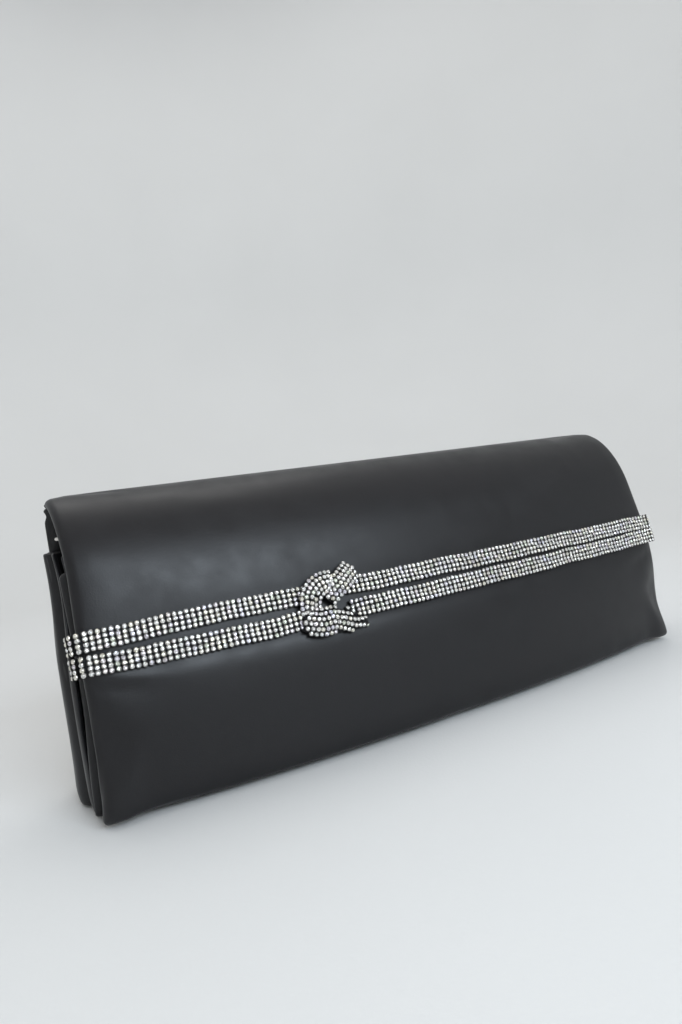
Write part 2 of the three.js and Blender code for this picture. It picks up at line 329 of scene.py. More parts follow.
# ---- materials ----------------------------------------------------------------------------------
class Nodes:
    """A material's node tree, with a short way to add nodes and set or link their inputs."""

    def __init__(self, name):
        self.material = bpy.data.materials.new(name)
        self.material.use_nodes = True
        self.tree = self.material.node_tree
        self.shader = self.tree.nodes["Principled BSDF"]
        self.object = self.add("ShaderNodeTexCoord").outputs["Object"]

    def add(self, kind, inputs=None, **settings):
        made = self.tree.nodes.new(kind)
        for key, value in settings.items():
            setattr(made, key, value)
        self.set(made, inputs or {})
        return made

    def set(self, target, inputs):
        for key, value in inputs.items():
            socket = target.inputs[key]
            if isinstance(value, bpy.types.NodeSocket):
                self.tree.links.new(value, socket)
            else:
                socket.default_value = value

    def noise(self, size, detail=2.0, rough=0.5, stretch=(1, 1, 1)):
        """Noise with features of the given size in millimetres."""
        scale = 1 / (size * MM)
        mapped = self.add("ShaderNodeMapping", {"Vector": self.object, "Scale": [scale / v for v in stretch]})
        made = self.add("ShaderNodeTexNoise", {
            "Vector": mapped.outputs["Vector"], "Scale": 1.0, "Detail": detail, "Roughness": rough,
        })
        return made.outputs["Fac"]

    def cells(self, size, feature="F1"):
        """Distances in Voronoi cells of the given size in millimetres."""
        made = self.add(
            "ShaderNodeTexVoronoi", {"Vector": self.object, "Scale": 1 / (size * MM)}, feature=feature,
        )
        return made.outputs["Distance"]

    def wave(self, scale, direction, inputs=None):
        inputs = {"Vector": self.object, "Scale": scale, **(inputs or {})}
        return self.add("ShaderNodeTexWave", inputs, bands_direction=direction).outputs["Fac"]

    def ramp(self, value, *stops):
        """A colour ramp with stops of (place, colour or grey)."""
        made = self.add("ShaderNodeValToRGB", {"Fac": value})
        points = made.color_ramp.elements
        while len(points) < len(stops):
            points.new(0.5)
        for point, (where, colour) in zip(points, stops):
            point.position = where
            point.color = (*((colour,) * 3 if isinstance(colour, (int, float)) else colour), 1)
        return made.outputs["Color"]

    def mix(self, share, a, b, blend="MIX"):
        made = self.add("ShaderNodeMix", data_type="RGBA", blend_type=blend)
        for slot, value in ((0, share), (6, a), (7, b)):
            if isinstance(value, bpy.types.NodeSocket):
                self.tree.links.new(value, made.inputs[slot])
            else:
                made.inputs[slot].default_value = value if slot == 0 else (*value, 1)
        return made.outputs[2]

    def math(self, operation, a, b):
        made = self.add("ShaderNodeMath", operation=operation)
        self.set(made, {0: a, 1: b})
        return made.outputs[0]

    def range(self, value, low, high, start=0.0, end=1.0):
        """A value from start to end, brought to between low and high."""
        return self.add("ShaderNodeMapRange", {
            "Value": value, "From Min": start, "From Max": end, "To Min": low, "To Max": high,
        }).outputs["Result"]

    def bump(self, height, depth, under=None):
        """Bump of the given depth in millimetres, on top of another bump."""
        inputs = {"Height": height, "Distance": depth * MM, "Strength": 1.0}
        if under is not None:
            inputs["Normal"] = under
        return self.add("ShaderNodeBump", inputs).outputs["Normal"]

    def finish(self, colour, rough, normal, others=None):
        """Sets the shader's inputs and gives the material."""
        self.set(self.shader, {"Base Color": colour, "Roughness": rough, "Normal": normal, **(others or {})})
        return self.material


def leather():
    """Smooth black faux leather: a fine grain, a satin sheen, and edges worn a little lighter."""
    n = Nodes("black_leather")
    tone = n.mix(n.noise(34, 3), (0.0065, 0.0065, 0.0075), (0.0095, 0.0088, 0.0098))
    speck = n.ramp(n.cells(0.9), (0.0, 0.75), (0.7, 1.0))
    colour = n.mix(0.5, tone, speck, "MULTIPLY")
    worn = n.ramp(n.add("ShaderNodeNewGeometry").outputs["Pointiness"], (0.515, 0.0), (0.6, 1.0))
    patchy = n.math("MULTIPLY", worn, n.noise(3.0, 4))
    colour = n.mix(patchy, colour, (0.045, 0.043, 0.045))
    rough = n.range(n.noise(11, 4), 0.33, 0.45, 0.3, 0.7)
    waves = n.bump(n.noise(30, 1, stretch=(2.5, 1, 1)), 0.16)
    grain = n.bump(n.cells(0.62), 0.014, waves)
    pores = n.bump(n.noise(0.22, 3), 0.008, grain)
    return n.finish(colour, rough, pores, {
        "Specular IOR Level": 0.3, "Coat Weight": 0.03, "Coat Roughness": 0.25, "Sheen Weight": 0.01,
        "Sheen Roughness": 0.4,
    })


def lining_cloth():
    """Black satin lining with a fine twill and a soft sheen."""
    n = Nodes("satin_lining")
    threads = n.wave(900.0, "DIAGONAL", {"Distortion": 1.2, "Detail": 1.0, "Detail Scale": 2.0})
    cross = n.wave(1300.0, "Z", {"Distortion": 0.8})
    weave = n.math("MULTIPLY", threads, n.range(cross, 0.7, 1.0))
    tone = n.mix(n.noise(18, 3), (0.016, 0.016, 0.019), (0.026, 0.025, 0.03))
    colour = n.mix(n.range(weave, 0.0, 0.55), tone, (0.05, 0.05, 0.058))
    wrinkles = n.bump(n.noise(13, 3, stretch=(2.5, 1, 1)), 0.5)
    return n.finish(colour, n.range(weave, 0.42, 0.62), n.bump(weave, 0.03, wrinkles), {
        "Sheen Weight": 0.3, "Sheen Roughness": 0.35,
    })


def crystal():
    """Foiled glass stones: bright facets, each stone with its own faint tint, and painted glints and painted
    shade in spots over each stone.
    """
    n = Nodes("crystal_stone")
    own = n.add("ShaderNodeNewGeometry").outputs["Random Per Island"]
    tint = n.ramp(
        own, (0.0, (0.98, 0.97, 0.95)), (0.5, (0.97, 0.95, 0.9)), (0.66, (0.97, 0.93, 0.8)),
        (0.8, (0.93, 0.86, 0.87)), (0.9, (0.87, 0.86, 0.95)), (0.97, (0.88, 0.92, 0.8)),
    )
    # depth is painted light: bright spots with darker rims over each stone, painted glints and painted shade
    # in place of the facets' reflections.
    depth = n.ramp(n.cells(0.55), (0.3, 1.0), (0.65, 0.3))
    colour = n.mix(0.7, tint, depth, "MULTIPLY")
    sparkle = n.bump(n.cells(0.6), 0.16)
    return n.finish(colour, n.range(n.noise(0.8, 2), 0.05, 0.16), sparkle, {
        "Metallic": 0.85, "Coat Weight": 0.6, "Coat Roughness": 0.03,
    })


def gunmetal():
    """The dark metal cups that hold the stones."""
    n = Nodes("gunmetal_cup")
    colour = n.mix(n.noise(1.5, 3), (0.035, 0.034, 0.032), (0.075, 0.072, 0.066))
    rough, pits = n.range(n.noise(0.6, 2), 0.25, 0.45), n.bump(n.noise(0.3, 2), 0.01)
    return n.finish(colour, rough, pits, {"Metallic": 0.9})


def mesh_backing():
    """The black mesh under the stones."""
    n = Nodes("black_mesh")
    net = n.cells(0.8, "DISTANCE_TO_EDGE")
    colour = n.mix(n.ramp(net, (0.0, 1.0), (0.12, 0.0)), (0.006, 0.006, 0.007), (0.02, 0.02, 0.021))
    return n.finish(colour, n.range(net, 0.5, 0.8, 0, 0.3), n.bump(net, 0.1), {"Specular IOR Level": 0.2})


def nickel():
    """Plated steel with fine scratches and a few duller patches."""
    n = Nodes("nickel_plate")
    scratch = n.noise(0.5, 4, stretch=(12, 1, 1))
    colour = n.mix(n.noise(4, 3), (0.62, 0.6, 0.56), (0.76, 0.74, 0.7))
    return n.finish(colour, n.range(scratch, 0.16, 0.36, 0.3, 0.7), n.bump(scratch, 0.006), {"Metallic": 1.0})


def fibre_board():
    """Grey card with pressed fibres."""
    n = Nodes("fibre_board")
    fibres = n.noise(0.9, 5, 0.7, stretch=(4, 1, 1))
    colour = n.mix(fibres, (0.2, 0.17, 0.13), (0.36, 0.32, 0.27))
    return n.finish(colour, n.range(fibres, 0.8, 0.95), n.bump(fibres, 0.08))


def foam_rubber():
    """Off-white foam with open cells."""
    n = Nodes("foam_rubber")
    cells = n.cells(0.9)
    colour = n.mix(cells, (0.62, 0.6, 0.53), (0.42, 0.4, 0.34))
    return n.finish(colour, n.range(cells, 0.85, 1.0), n.bump(cells, 0.2))


def thread():
    """Black twisted thread."""
    n = Nodes("black_thread")
    ply = n.wave(1100.0, "DIAGONAL")
    colour = n.mix(ply, (0.012, 0.012, 0.014), (0.06, 0.06, 0.066))
    return n.finish(colour, n.range(ply, 0.5, 0.7), n.bump(ply, 0.06))


def table_top():
    """The pale surface that the bag stands on, with its faint glitter painted in as white specks: painted
    glints.
    """
    n = Nodes("pale_table")
    colour = n.mix(n.noise(260, 2), (0.68, 0.68, 0.67), (0.73, 0.73, 0.72))
    # White specks painted into the colour: painted glints standing in for the table's glitter.
    painted_glints = n.ramp(n.cells(1.6), (0.0, 1.0), (0.09, 0.0))
    colour = n.mix(n.math("MULTIPLY", painted_glints, 0.25), colour, (0.95, 0.95, 0.95))
    return n.finish(colour, n.range(n.noise(3, 3), 0.5, 0.65), n.bump(n.noise(1.2, 3), 0.05))


LEATHER, CLOTH, CRYSTAL, CUP, MESH = leather(), lining_cloth(), crystal(), gunmetal(), mesh_backing()
NICKEL, BOARD, FOAM, THREAD, TABLE = nickel(), fibre_board(), foam_rubber(), thread(), table_top()


# ---- padded flap and back -----------------------------------------------------------------------
PUFF = 1.3  # the most that the padding may move a point
PRESSURE, FRAMES = 4, 20  # how hard and how long it is blown up
FLOOR_CLEAR = 0.4  # no point is blown down to less than this over the table
BAND_EDGES = [S_KNOT - 8.4, S_KNOT + 7.6]  # the leather under the crystal strips stays in place
# Small folds at the top back corners: how far past the top's end, how far each leans, and how deep it is.
CREASES = [(1.0, 0.35, 0.75), (5.5, -0.25, 0.95), (10.5, 0.3, 0.7)]
CREASE_WIDTH = 1.2


def cover_half(s):
    """Half the cover's width: the padded edges of the flap swell a little past the back's."""
    corner = 1.2 * (1 - smooth(s, 4, 24))
    return HALF + SOFT_EDGE * (1 - smooth(s, 50, S_FRONT + 12)) + corner


def cover_depths(x, s):
    """The cover is as thick as the flap, thinner down the back, and recessed inside for the lining."""
    from_side = cover_half(s) - np.abs(x)
    thick = FLAP + (BACK_THICK - FLAP) * smooth(s, S_TOP - 4, S_HINGE + 4)
    inside = smooth(from_side, MARGIN, MARGIN + 1.8) * smooth(s, MARGIN - 1, MARGIN + 1)
    inside = inside * smooth(FACE.length - s, MARGIN - 1, MARGIN + 1)
    roll = 0.6 * (1 - smooth(from_side, 0, 9))  # the side edges lie a little back
    flare = 2.6 * (1 - smooth(from_side, 0, 18)) * (1 - smooth(s, 0, 30))  # the lower corners stand forward
    soft = 0.7 * (1 - smooth(from_side, 2, 8)) * (1 - smooth(s, S_FRONT + 20, S_TOP))  # the sides are fuller
    return roll - flare, thick - RECESS * inside + soft - 0.5 * flare


def creases(flat):
    """Presses the small folds into the flat cover, where the leather rolls over at the top back corners."""
    x, depth, s = flat.T
    side = HALF - np.abs(x)
    near = (1 - smooth(side, 3, 16)) * (depth < FLAP / 2)
    fall = 0
    for past, lean, deep in CREASES:
        offset = s - (S_TOP + past) - lean * side
        fall = fall + deep * np.exp(-((offset / CREASE_WIDTH) ** 2))
    flat[:, 1] = depth + near * fall
    flat[:, 0] = x - np.sign(x) * 1.5 * fall * (1 - smooth(side, 0, 4))
    return flat


def puffed(piece, pinned, cap):
    """Blows up a closed mesh with Cloth, moves no point further than about cap, and applies the result."""
    before = coordinates(piece.data)
    group = piece.vertex_groups.new(name="pinned")
    for weight in np.unique(np.round(pinned, 2)):
        members = np.flatnonzero(np.round(pinned, 2) == weight)
        if weight > 0:
            group.add([int(v) for v in members], float(weight), "REPLACE")
    cloth = piece.modifiers.new("padding", "CLOTH")
    cloth.settings.vertex_group_mass = group.name
    cloth.settings.use_pressure = True
    cloth.settings.uniform_pressure_force = PRESSURE
    cloth.settings.mass = 0.15
    cloth.settings.tension_stiffness = cloth.settings.compression_stiffness = 10
    cloth.settings.bending_stiffness = 0.3
    cloth.settings.effector_weights.gravity = 0
    cloth.point_cache.frame_start, cloth.point_cache.frame_end = 1, FRAMES
    for number in range(1, FRAMES + 1):
        bpy.context.scene.frame_set(number)
    applied(piece)
    bpy.context.scene.frame_set(1)
    move = coordinates(piece.data) - before
    size = np.maximum(np.linalg.norm(move, axis=1), 1e-9)
    limit = cap * MM
    moved = before + move * (limit * np.tanh(size / limit) / size)[:, None]
    moved[:, 2] = np.maximum(moved[:, 2], np.minimum(before[:, 2], FLOOR_CLEAR * MM))
    piece.data.vertices.foreach_set("co", moved.astype(np.float32).ravel())
    piece.data.update()
    return piece


def cover():
    """Flap, fold and back: one padded sheet of leather."""
    rows = stations_between(0, FACE.length, 2.4, [
        (BAND_EDGES[0] - 8, 4.5), (BAND_EDGES[1] + 8, 2.2), (S_TOP - 6, 4.5), (S_HINGE + 6, 1.3),
        (FACE.length, 5),
    ])
    flat, faces = slab(cover_half, cover_depths, rows, columns_to(75, 0.55), side=3.2, corner=1.6, sides=7)
    flat = creases(flat)
    piece = to_object("cover", place(flat), faces, LEATHER)
    mark = piece.data.attributes.new("along", "FLOAT", "POINT")
    mark.data.foreach_set("value", flat[:, 2].astype(np.float32))
    x, depth, s = flat.T
    inner = smooth(depth, 2.2, 3.6) * smooth(s, 2, 14)
    low, high = BAND_EDGES
    band = smooth(s, low - 1, low + 1) * (1 - smooth(s, high - 1, high + 1))
    hinge = smooth(s, S_TOP - 2, S_TOP + 3) * (1 - smooth(s, S_HINGE + 3, S_HINGE + 10))
    puffed(piece, np.maximum.reduce([inner, band, hinge]), PUFF)
    return subdivide(piece)


def cut_apart(piece, s_cut, names):
    """Splits a closed sheet at a row into two closed ones that meet without a visible seam."""
    mesh = piece.data
    s = np.zeros(len(mesh.vertices), np.float32)
    mesh.attributes["along"].data.foreach_get("value", s)
    normals = np.zeros(len(mesh.vertices) * 3, np.float32)
    mesh.vertex_normals.foreach_get("vector", normals)
    normals = normals.reshape(-1, 3)
    points = coordinates(mesh) / MM
    polygons = [list(p.vertices) for p in mesh.polygons]
    side = np.array([s[face].mean() > s_cut for face in polygons])
    parts = []
    for number, name in enumerate(names):
        faces = [face for face, above in zip(polygons, side) if above == bool(number)]
        edges = {}
        for face in faces:
            for a, b in zip(face, face[1:] + face[:1]):
                edges[(a, b)] = edges.get((a, b), 0) + 1
        rim = {b: a for (a, b) in edges if (b, a) not in edges}
        start = next(iter(rim))
        lid = [start]
        while rim[lid[-1]] != start:
            lid.append(rim[lid[-1]])
        used = sorted({v for face in faces for v in face})
        new = {v: i for i, v in enumerate(used)}
        made = bpy.data.meshes.new(name)
        renumbered = [[new[v] for v in face] for face in faces + [lid]]
        made.from_pydata([tuple(points[v] * MM) for v in used], [], renumbered)
        made.materials.append(piece.data.materials[0])
        made.polygons.foreach_set("use_smooth", [True] * len(faces) + [False])
        corners = [tuple(normals[v]) for face in faces for v in face]
        corners += [tuple(made.polygons[-1].normal)] * len(lid)
        made.normals_split_custom_set(corners)
        parts.append(linked(name, made))
    bpy.data.objects.remove(piece)
    return parts


flap_cover, back_cover = cut_apart(cover(), S_TOP - 4, ["flap_cover", "back_cover"])
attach(flap_cover, "flap")
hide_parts("flap_skin")
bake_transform(back_cover)
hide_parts("back_panel")


# ---- front wall and base ------------------------------------------------------------------------
WALL_TOP = 87  # height on the flap's face of the front wall's upper edge
S_WALL_TOP = FACE.along(WALL_TOP, until=0.5)
CORNER = 5
WALL_WIDER = 4.6  # how far the soft sides of the front wall stand out past its board
WALL_FACE_Y = FRONT + WALL
BASE_REAR = BACK - 0.6
wall_rows = np.linspace(FACE.along(CORNER, WALL, until=0.3), S_WALL_TOP, 40)
WALL_LINE = Line(
    [(BASE_REAR, 0)], arc((WALL_FACE_Y + CORNER, CORNER), CORNER, 270, 180),
    np.stack(FACE.at(wall_rows, WALL), 1)[1:],
)
S_CORNER = BASE_REAR - WALL_FACE_Y - CORNER


def front_sheet():
    """One sheet of leather: under the base, round the corner and up the front wall."""
    def depths(x, s):
        return 0, BASE_THICK + (WALL_THICK - BASE_THICK) * smooth(s, S_CORNER + 4, S_CORNER + 12)

    def half(s):
        wider = WALL_WIDER + 1.5 * (1 - smooth(s, S_CORNER + 10, S_CORNER + 50))
        return WALL_HALF + 1 + wider * smooth(s, S_CORNER - 3, S_CORNER + 4)

    end = WALL_LINE.length
    rows = stations_between(0, end, 0.8, [(S_CORNER, 5), (S_CORNER + 12, 1.2), (end - 4, 5), (end, 1.2)])
    flat, faces = slab(half, depths, rows, columns_to(49, 0.4), side=1.8, corner=2.5, tip=1.6)
    piece = subdivide(to_object("front_and_base", place(flat, WALL_LINE), faces, LEATHER))
    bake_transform(piece)
    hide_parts("front_panel", "base_panel")


front_sheet()


# ---- pleated ends -------------------------------------------------------------------------------
# Each lobe of a pleated end: its place from front (0) to back (1), how far out it stands, and its half width.
LOBES = [(0.06, 140.0, 0.19), (0.45, 141.8, 0.25), (0.89, 139.6, 0.2)]
VALLEY = 129.5  # how far out the leather is between the lobes
PINCH_AT, PINCH_SIZE = 10, 1.8  # a small pinch low down in the back lobe
END_TIP = 0.8
GUSSET_GAP = 0.15  # between a pleated end and the panels that it is sewn to


def pleat(u, z, shift):
    """How far out the pleated end is, from its front (u = 0) to its back (u = 1)."""
    foot = (1 - smooth(z, GUSSET_FOOT - 1, 4)) * 1.2
    top = smooth(z, 45, 82)
    out = np.full_like(u, VALLEY)
    for k, (middle, reach, width) in enumerate(LOBES):
        middle = middle + 0.02 * np.sin(z / 19 + 2 * k) + 0.012 * np.sin(z / 6.1 + k)
        share = np.clip((u - middle) / width, -1, 1)
        rise = (reach - VALLEY) * (1 - 0.2 * top - 0.05 * (1 - smooth(z, 10, 40)))
        rise = rise + 0.35 * np.sin(z / 14 + 1.7 * k)
        if k == len(LOBES) - 1:
            rise = rise * (1 - 0.3 * math.exp(-(((z - PINCH_AT) / PINCH_SIZE) ** 2)))
        out = np.maximum(out, VALLEY + rise * (1 - np.abs(share) ** 2.6) ** 0.7)
    return out - foot - shift


def pleated(name, side, shift, thickness, top, material):
    """A pleated end, or its lining: a wavy sheet between the front wall and the back."""
    u = np.linspace(0, 1, 91)
    heights = stations_between(GUSSET_FOOT, top, END_TIP, 4)
    rings = []
    for z in heights:
        s = FACE.along(z, WALL + WALL_THICK, until=0.5)
        front = FACE.at(s, WALL + WALL_THICK + GUSSET_GAP)[0]
        y = front + (BACK - BACK_THICK - GUSSET_GAP - front) * u
        x = pleat(u, z, shift)
        way = np.stack([np.gradient(x), np.gradient(y)], 1)
        way /= np.linalg.norm(way, axis=1)[:, None]
        from_end = min(z - heights[0], heights[-1] - z)
        fat = thickness / 2 * math.sqrt(max(0, 1 - max(0, 1 - from_end / END_TIP) ** 2))
        out = np.stack([x + way[:, 1] * fat, y - way[:, 0] * fat, np.full(len(u), z)], 1)
        back = np.stack([x - way[:, 1] * fat, y + way[:, 0] * fat, np.full(len(u), z)], 1)
        rings.append(np.concatenate([out, back[::-1]]))
    points, faces = loft(rings, np.arange(2 * len(u))[::-1])
    points = bulge(points)
    points[:, 0] *= side
    piece = subdivide(to_object(name, points, faces, material))
    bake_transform(piece)
    return piece


for side, hand in HANDS:
    end = pleated(f"{hand}_pleated_end", side, 0, 1.5, GUSSET_TOP, LEATHER)
    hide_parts(f"{hand}_gusset")
    end_lining = pleated(f"{hand}_end_lining", side, 2.4, LINING, GUSSET_TOP - 1.5, CLOTH)
    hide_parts(f"{hand}_gusset_lining")


# ---- linings, facings and pocket ----------------------------------------------------------------
BACK_REAR = BACK - BACK_THICK
BACK_TOP, FACING_FOOT = 99, 80  # heights of the back lining's upper edge and of its facing's lower edge
LINING_CORNER, LINING_FLOOR = 4, 4.5
lining_start = FACE.along(LINING_CORNER + LINING_FLOOR, WALL_REAR, until=0.3)
front_rows = np.linspace(S_WALL_TOP - 1, lining_start, 40)
LINING_LINE = Line(
    np.stack(FACE.at(front_rows, WALL_REAR), 1),
    arc((FRONT + WALL_REAR + LINING_CORNER, LINING_FLOOR + LINING_CORNER), LINING_CORNER, 180, 270)[1:],
    arc((BACK_REAR - LINING_CORNER, LINING_FLOOR + LINING_CORNER), LINING_CORNER, 270, 360),
    [(BACK_REAR, BACK_TOP)],
)


def thin_sheet(name, line, ends, half, depths, step, material, count=41, corner=1.2):
    """A flat-edged sheet of lining or leather between two places on a line.

    depths is its outer and inner depth, or a function of (x, s) that gives them.
    """
    depths_at = depths if callable(depths) else lambda x, s: depths
    rows = stations_between(*ends, 0.4, step)
    flat, faces = slab(
        lambda s: half, depths_at, rows, columns_to(count, 0.3), side=0.6, corner=corner, tip=0.4, sides=3,
    )
    piece = subdivide(to_object(name, place(flat, line), faces, material))
    return piece


body_lining = thin_sheet(
    "body_lining", LINING_LINE, (0, LINING_LINE.length), WALL_HALF - 0.8, (0, LINING), 3.5, CLOTH,
)
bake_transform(body_lining)
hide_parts("front_lining", "base_lining", "back_lining")

flap_lining = thin_sheet(
    "flap_lining_panel", FACE, (MARGIN + 0.5, S_TOP + 1.5), HALF - MARGIN - 0.5, (FLAP - 0.75, FLAP), 4, CLOTH,
    count=49,
)
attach(flap_lining, "flap")
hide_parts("flap_lining")

front_facing = thin_sheet(
    "front_mouth_facing", FACE, (S_WALL_TOP - 18, S_WALL_TOP - 0.6), WALL_HALF - 3,
    (WALL_REAR + 0.1, WALL_REAR + 1.1), 4, LEATHER,
)
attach(front_facing, "front_wall")
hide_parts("front_facing")

BACK_LINE = Line([(BACK, BACK_FOOT), (BACK, HEIGHT)])  # straight up the back
back_facing = thin_sheet(
    "back_mouth_facing", BACK_LINE, (FACING_FOOT - BACK_FOOT, BACK_TOP - BACK_FOOT), WALL_HALF - 10,
    (-BACK_THICK - 1.1, -BACK_THICK - 0.1), 4, LEATHER,
)
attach(back_facing, "shell")
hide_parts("back_facing")

POCKET_HALF, POCKET_FOOT, POCKET_TOP = 65, 18, 72
POCKET_ENDS = (POCKET_FOOT - BACK_FOOT, POCKET_TOP - BACK_FOOT)
POCKET_CLOTH = 0.9


def pocket_depth(x, s):
    """The slip pocket's outer depth: it is sewn down at its sides and foot, and slack at its mouth."""
    across = 1 - (np.abs(x) / POCKET_HALF) ** 4
    return -BACK_THICK - 0.2 - across * (0.4 + 3.6 * smooth(s, *POCKET_ENDS))


def over_pocket(near, far):
    """Depths of a sheet that lies between two distances over the slip pocket's outer depth."""
    return lambda x, s: (pocket_depth(x, s) - far, pocket_depth(x, s) - near)


pocket = thin_sheet(
    "slip_pocket_sheet", BACK_LINE, POCKET_ENDS, POCKET_HALF, over_pocket(0, POCKET_CLOTH), 3.5, CLOTH,
    count=31, corner=3,
)
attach(pocket, "shell")
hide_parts("slip_pocket")
pocket_hem = thin_sheet(
    "slip_pocket_edge", BACK_LINE, (POCKET_ENDS[1] - 7, POCKET_ENDS[1] + 0.3), POCKET_HALF - 0.4,
    over_pocket(POCKET_CLOTH + 0.1, POCKET_CLOTH + 0.9), 2, LEATHER, count=31, corner=1,
)
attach(pocket_hem, "shell")
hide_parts("slip_pocket_hem")


# ---- stitches -----------------------------------------------------------------------------------
STITCH, STITCH_GAP, STITCH_THICK = 2.3, 0.9, 0.26


def stitch_shape():
    """One stitch: a short thread that dips into the leather at both its ends. Points (along, across, up)."""
    points_round, bands = 6, 6
    angles = np.arange(points_round) / points_round * 2 * np.pi
    rings = []
    for t in np.linspace(-0.5, 0.5, bands + 1):
        size = STITCH_THICK * math.sqrt(max(0.0, 1 - (2 * t) ** 4))
        up = 0.12 - 1.1 * t * t
        rings.append(np.stack([
            np.full(points_round, t * STITCH), size * np.cos(angles), size * np.sin(angles) + up,
        ], 1))
    faces = []
    for here in range(0, bands * points_round, points_round):
        for j in range(points_round):
            k = (j + 1) % points_round
            faces.append([here + j, here + k, here + points_round + k, here + points_round + j])
    ends = [[first + j for j in range(points_round)] for first in (0, bands * points_round)]
    return np.vstack(rings), faces + ends


def frames_on(surface, a, b, step=0.05):
    """Places and (along, across, out) directions on surface(a, b), which takes and gives arrays."""
    here = surface(a, b)
    along = surface(a + step, b) - here
    across = surface(a, b + step) - here
    out = np.cross(along, across)
    out /= np.linalg.norm(out, axis=1)[:, None]
    along /= np.linalg.norm(along, axis=1)[:, None]
    return here, np.stack([along, np.cross(out, along), out], 2)


def copies(shape, places, turns):
    """The shape's points at every place."""
    return places[:, None, :] + np.einsum("nij,kj->nki", turns, shape)


def stitches(name, body, surface, length):
    """A row of stitches along surface(a, 0) for a from 0 to its length."""
    shape, faces = stitch_shape()
    count = max(2, int(length / (STITCH + STITCH_GAP)))
    a = (np.arange(count) + 0.5) * length / count
    points = copies(shape, *frames_on(surface, a, np.zeros(count)))
    every = [[v + i * len(shape) for v in face] for i in range(count) for face in faces]
    piece = to_object(name, points.reshape(-1, 3), every, THREAD)
    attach(piece, body)


def across_sheet(line, s, half, depth, flip=1):
    """A surface for a row of stitches that runs along x."""
    def surface(a, b):
        return place(np.stack([a - half, np.full_like(a, depth), s + flip * b], 1), line)
    return surface


def up_flap(x, start, depth):
    """A surface for a row of stitches that runs up the flap's inner face."""
    def surface(a, b):
        return place(np.stack([x + b, np.full_like(a, depth), start + a], 1))
    return surface


LINING_SEAM = MARGIN - 1.6  # how far in from the flap's edge its lining is sewn
seam_half = HALF - LINING_SEAM
stitches("flap_seam_hem", "flap", across_sheet(FACE, LINING_SEAM, seam_half, FLAP + 0.05, -1), 2 * seam_half)
for side, hand in HANDS:
    stitches(
        f"flap_seam_{hand}", "flap", up_flap(side * seam_half, LINING_SEAM, FLAP + 0.05),
        S_TOP - LINING_SEAM,
    )
stitches(
    "front_facing_seam", "front_wall",
    across_sheet(FACE, S_WALL_TOP - 16.5, WALL_HALF - 5, WALL_REAR + 1.15, -1), 2 * (WALL_HALF - 5),
)
stitches(
    "front_edge_seam", "front_wall",
    across_sheet(FACE, S_WALL_TOP - 3, WALL_HALF - 2, WALL - 0.1), 2 * (WALL_HALF - 2),
)
stitches(
    "back_facing_seam", "shell",
    across_sheet(BACK_LINE, FACING_FOOT + 1.5 - BACK_FOOT, WALL_HALF - 12, -BACK_THICK - 1.15),
    2 * (WALL_HALF - 12),
)


def pocket_surface(points_of):
    """A surface on the slip pocket's face, from a function that gives x and s."""
    def surface(a, b):
        x, s = points_of(a, b)
        return place(np.stack([x, pocket_depth(x, s) - POCKET_CLOTH - 0.02, s], 1), BACK_LINE)
    return surface


foot_seam = pocket_surface(lambda a, b: (a - POCKET_HALF + 3, POCKET_ENDS[0] + 2.2 + b))
stitches("pocket_seam_foot", "shell", foot_seam, 2 * POCKET_HALF - 6)
for side, hand in HANDS:
    side_seam = pocket_surface(lambda a, b: (side * (POCKET_HALF - 2) - b, POCKET_ENDS[0] + 3 + a))
    stitches(f"pocket_seam_{hand}", "shell", side_seam, POCKET_TOP - POCKET_FOOT - 11)


# ---- tabs, rings and snaps ----------------------------------------------------------------------
RING_X, RING_Y, RING_Z = 130, 15, 94.6  # the middle of the right ring's bar
TAB_WIDTH, TAB_EYE = 6, 1.05
TAB_THICK, TAB_REACH, TAB_DROP = 1.5, 11.3, 13


def bevelled(piece, width, angle):
    """Rounds the edges that are sharper than an angle in degrees."""
    edge = piece.modifiers.new("bevel", "BEVEL")
    edge.width, edge.segments, edge.limit_method = width * MM, 3, "ANGLE"
    edge.angle_limit = math.radians(angle)
    piece.modifiers.new("even_shading", "WEIGHTED_NORMAL").keep_sharp = False


def tab_outline():
    """The strap from the side: up its tail, over the eye, and back under itself, as (x, z)."""
    thick, reach, eye = TAB_THICK, TAB_REACH, TAB_EYE + 0.65
    return np.vstack([
        [(-reach, -TAB_DROP), (-reach, -thick / 2)], arc((thick - reach, -thick / 2), thick, 180, 90)[1:],
        [(-1.8, thick / 2)], arc((0, 0), eye, 152, 0, 10), arc((0, 0), eye, 0, -152, 10)[1:],
        [(-1.8, -thick / 2), (thick - reach + 1, -thick / 2), (thick - reach, -thick / 2 - 1)],
        [(thick - reach, -TAB_DROP)],
    ])


def tab_mesh():
    """The strap's points and faces, with its eye open for the bar and its cut edges turned in a little."""
    outer = tab_outline()
    toward = outer.mean(0) - outer
    toward /= np.linalg.norm(toward, axis=1)[:, None]
    eye = arc((0, 0), TAB_EYE, 0, 360, 24)[:-1]
    work = bmesh.new()
    widths = TAB_WIDTH / 2 * np.array([-1, -0.94, 0.94, 1])
    outlines = [outer + toward * inset for inset in (0.12, 0, 0, 0.12)]
    loops = [[work.verts.new((x, y, z)) for x, z in outline] for y, outline in zip(widths, outlines)]
    holes = [[work.verts.new((x, y, z)) for x, z in eye] for y in widths]
    for group in (loops, holes):
        for one, two in zip(group, group[1:]):
            for j in range(len(one)):
                k = (j + 1) % len(one)
                work.faces.new([one[j], one[k], two[k], two[j]])
    for end in (0, -1):
        edges = []
        for ring in (loops[end], holes[end]):
            edges += [work.edges.get(pair) for pair in zip(ring, ring[1:] + ring[:1])]
        bmesh.ops.triangle_fill(work, use_beauty=True, edges=edges)
    work.verts.index_update()
    points = np.array([v.co for v in work.verts]) + (RING_X, RING_Y, RING_Z)
    faces = [[v.index for v in f.verts] for f in work.faces]
    work.free()
    return points, faces


